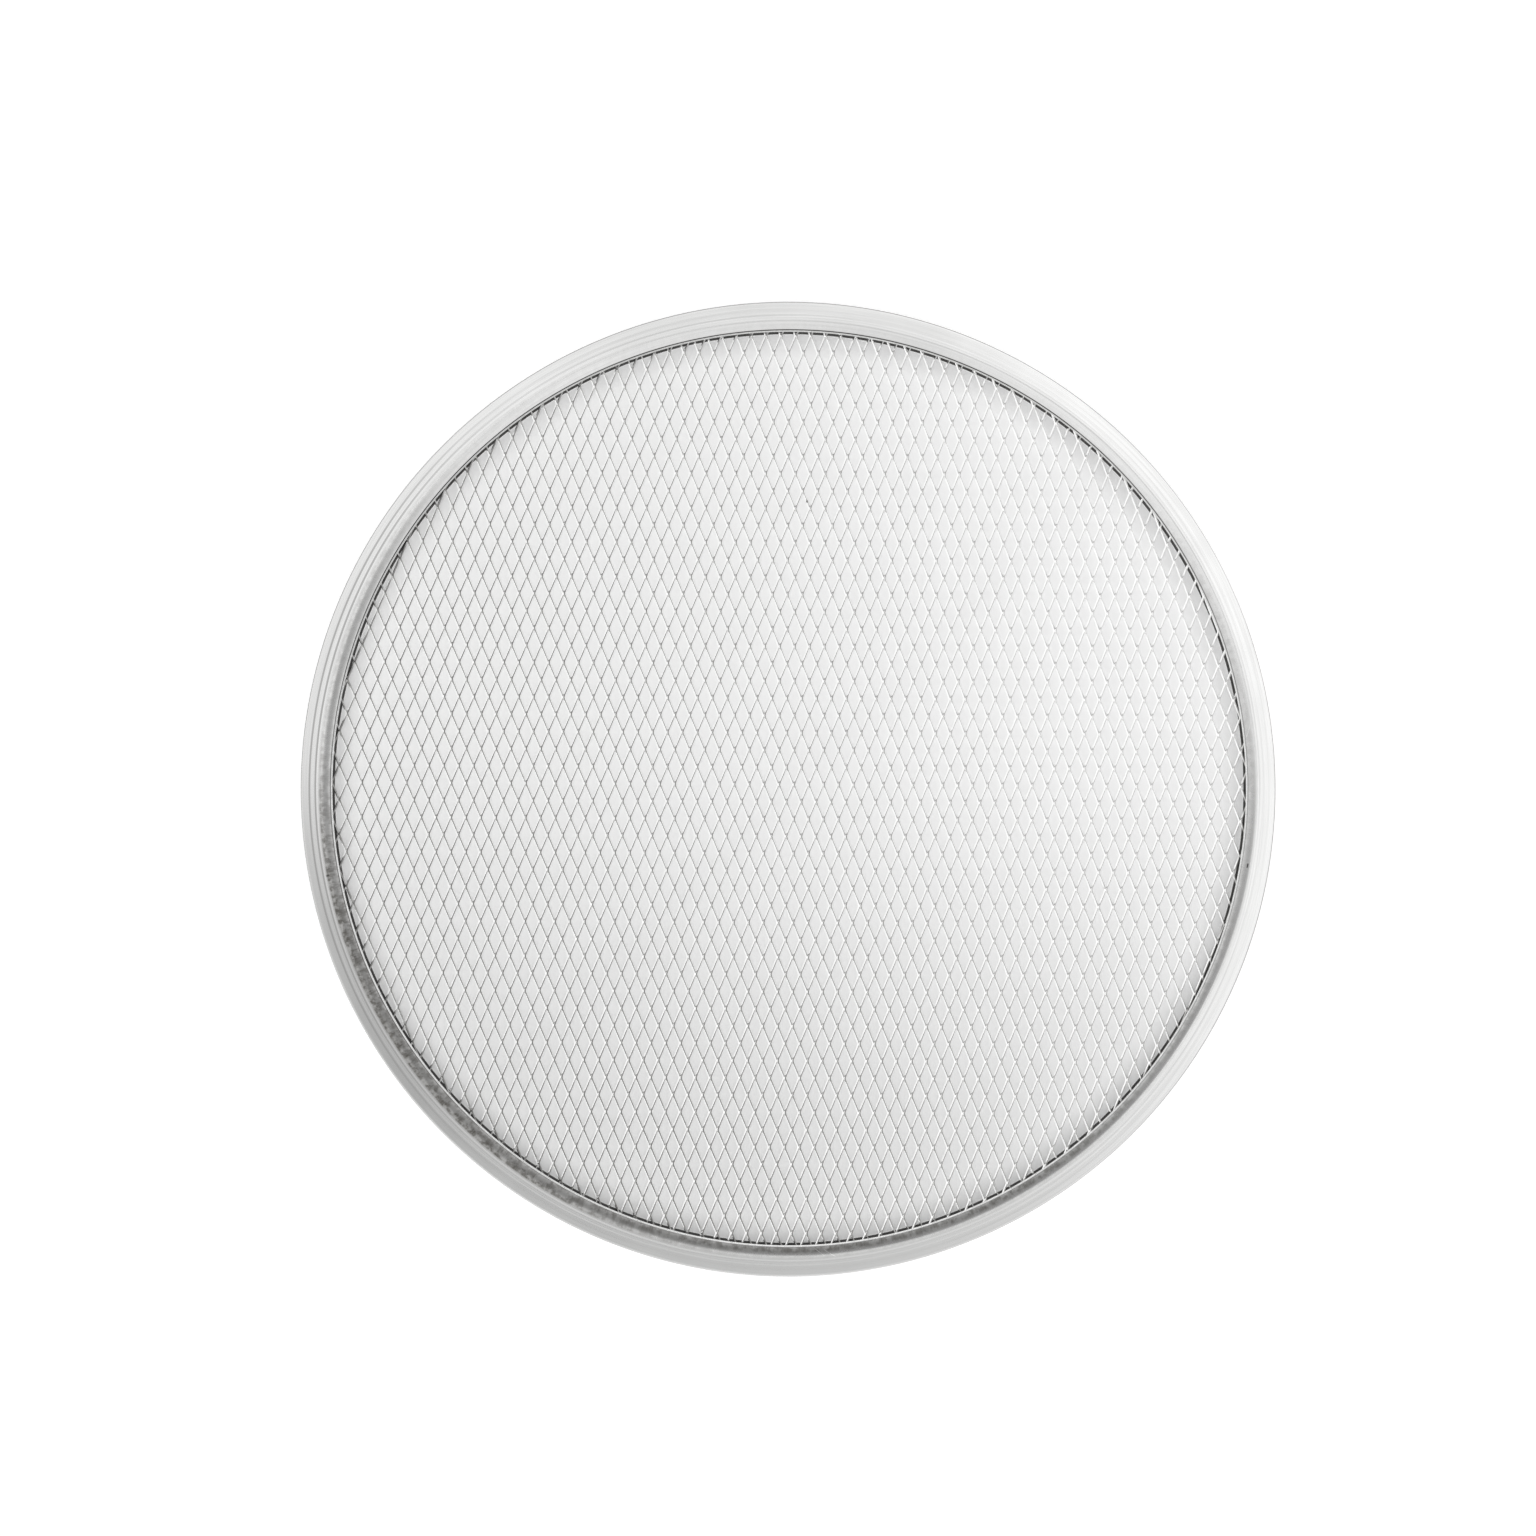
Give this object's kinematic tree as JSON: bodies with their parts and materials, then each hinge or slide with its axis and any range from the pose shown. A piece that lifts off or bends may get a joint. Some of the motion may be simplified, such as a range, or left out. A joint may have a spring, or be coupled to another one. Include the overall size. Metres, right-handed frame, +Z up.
{
  "type": "pizza screen",
  "caption": "Flat round pizza screen: a disc of open diamond mesh in expanded aluminium, held all round by a narrow folded aluminium rim.",
  "frame": {"origin": "middle of the disc, on the plane that the rim's flat underside rests on", "axes": "+Z up, square to the screen; the diamonds' long way runs along Y, turned 0.3 degrees clockwise, and their short way along X"},
  "size_m": [0.3048, 0.3048, 0.0032],
  "materials": {
    "rim_aluminium": "rolled strip with fine lines along the ring, lightly tarnished on its inner slope",
    "mesh_aluminium": "bare expanded sheet, bright on its cut edges"
  },
  "bodies": {
    "root": {"rim": "rim_aluminium", "mesh": "mesh_aluminium"}
  },
  "joints": []
}
